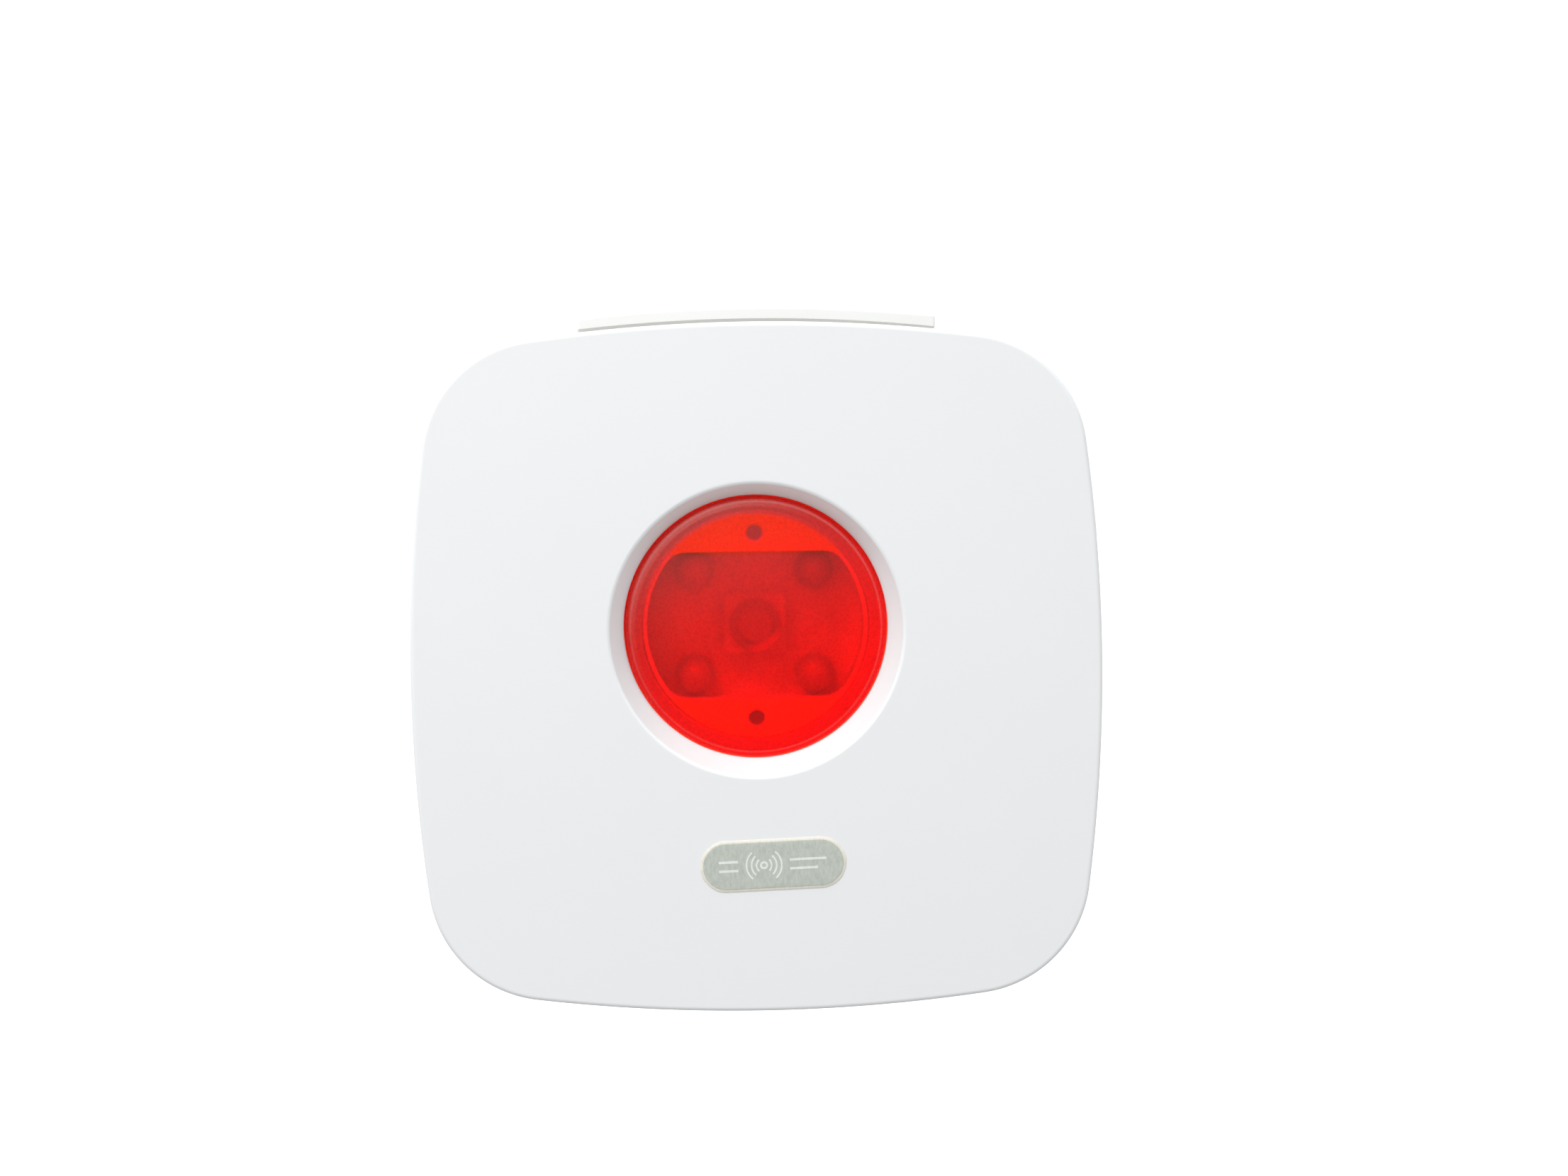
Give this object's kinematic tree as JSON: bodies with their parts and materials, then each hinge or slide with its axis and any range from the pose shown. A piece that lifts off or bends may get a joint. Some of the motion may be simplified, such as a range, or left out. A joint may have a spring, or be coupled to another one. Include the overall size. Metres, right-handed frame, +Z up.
{
  "type": "alarm siren",
  "caption": "Wall-hung battery alarm siren: square bulging case, translucent press button over strobe lights in a round funnel, sliding battery door and lift-off wall bracket.",
  "frame": {"origin": "centre of the wall bracket's back face, midway between its two screw holes", "axes": "+X to the right seen from the front, +Y into the wall, +Z up"},
  "size_m": [0.096, 0.0342, 0.0975],
  "materials": {
    "case_plastic": "satin white moulding",
    "bracket_plastic": "cream-white moulding",
    "badge": "speckled grey-green sticker",
    "cap_plastic": "translucent red moulding",
    "spring_steel": "bright wire",
    "reflector_plastic": "white reflector",
    "led_lens": "water-clear lens",
    "switch_plastic": "black moulding",
    "push_switch_plastic": "pale moulding",
    "plunger_plastic": "white moulding",
    "circuit_board": "white solder-masked board",
    "screw_steel": "zinc plated",
    "capacitor_sleeve": "shrink sleeve",
    "coil_ferrite": "ferrite",
    "chip_black": "moulded package",
    "sounder_plastic": "black moulding",
    "piezo_brass": "brass disc",
    "wire_red": "insulated lead",
    "wire_black": "insulated lead",
    "slider_plastic": "ribbed black slider",
    "cell_sleeve": "printed cell sleeve",
    "contact_plate": "nickel plated strip"
  },
  "bodies": {
    "bracket": {"wall_bracket": "bracket_plastic"},
    "case": {"front_cover": "case_plastic", "rear_cover": "case_plastic", "badge_label": "badge", "return_spring_upper": "spring_steel", "return_spring_lower": "spring_steel", "reflector_plate": "reflector_plastic", "strobe_leds": "led_lens", "push_switch_body": "push_switch_plastic", "main_board": "circuit_board", "board_screws": "screw_steel", "case_screws": "screw_steel", "storage_capacitor": "capacitor_sleeve", "timing_capacitor": "capacitor_sleeve", "boost_coil": "coil_ferrite", "controller_chip": "chip_black", "drive_transistor": "chip_black", "chip_resistors": "chip_black", "sounder_housing": "sounder_plastic", "piezo_disc": "piezo_brass", "sounder_wires": "wire_red", "power_switch_body": "switch_plastic", "switch_wires": "wire_black", "cell_upper": "cell_sleeve", "cell_middle": "cell_sleeve", "cell_lower": "cell_sleeve", "cell_springs": "spring_steel", "contact_positive": "contact_plate", "contact_negative": "contact_plate", "contact_link_left": "contact_plate", "contact_link_right": "contact_plate", "battery_wires": "wire_red"},
    "button": {"button_cap": "cap_plastic"},
    "plunger": {"push_switch_plunger": "plunger_plastic"},
    "door": {"battery_door": "case_plastic"},
    "slider": {"power_switch_slider": "slider_plastic"}
  },
  "joints": [
    {"name": "case_lift", "type": "slide", "parent": "bracket", "child": "case", "axis": [0, 0, 1], "range_m": [0, 0.008]},
    {"name": "button_press", "type": "slide", "parent": "case", "child": "button", "axis": [0, 1, 0], "range_m": [0, 0.0016], "stiffness_N_per_m": 1500, "springref_m": -0.001, "deforming": ["return_spring_upper", "return_spring_lower"]},
    {"name": "plunger_press", "type": "slide", "parent": "case", "child": "plunger", "axis": [0, 1, 0], "range_m": [0, 0.0016]},
    {"name": "door_slide", "type": "slide", "parent": "case", "child": "door", "axis": [0, 0, -1], "range_m": [0, 0.008]},
    {"name": "power_slide", "type": "slide", "parent": "case", "child": "slider", "axis": [0, 0, 1], "range_m": [0, 0.003]}
  ],
  "couplings": [
    {"joint": "plunger_press", "follows": "button_press", "ratio": 1}
  ]
}
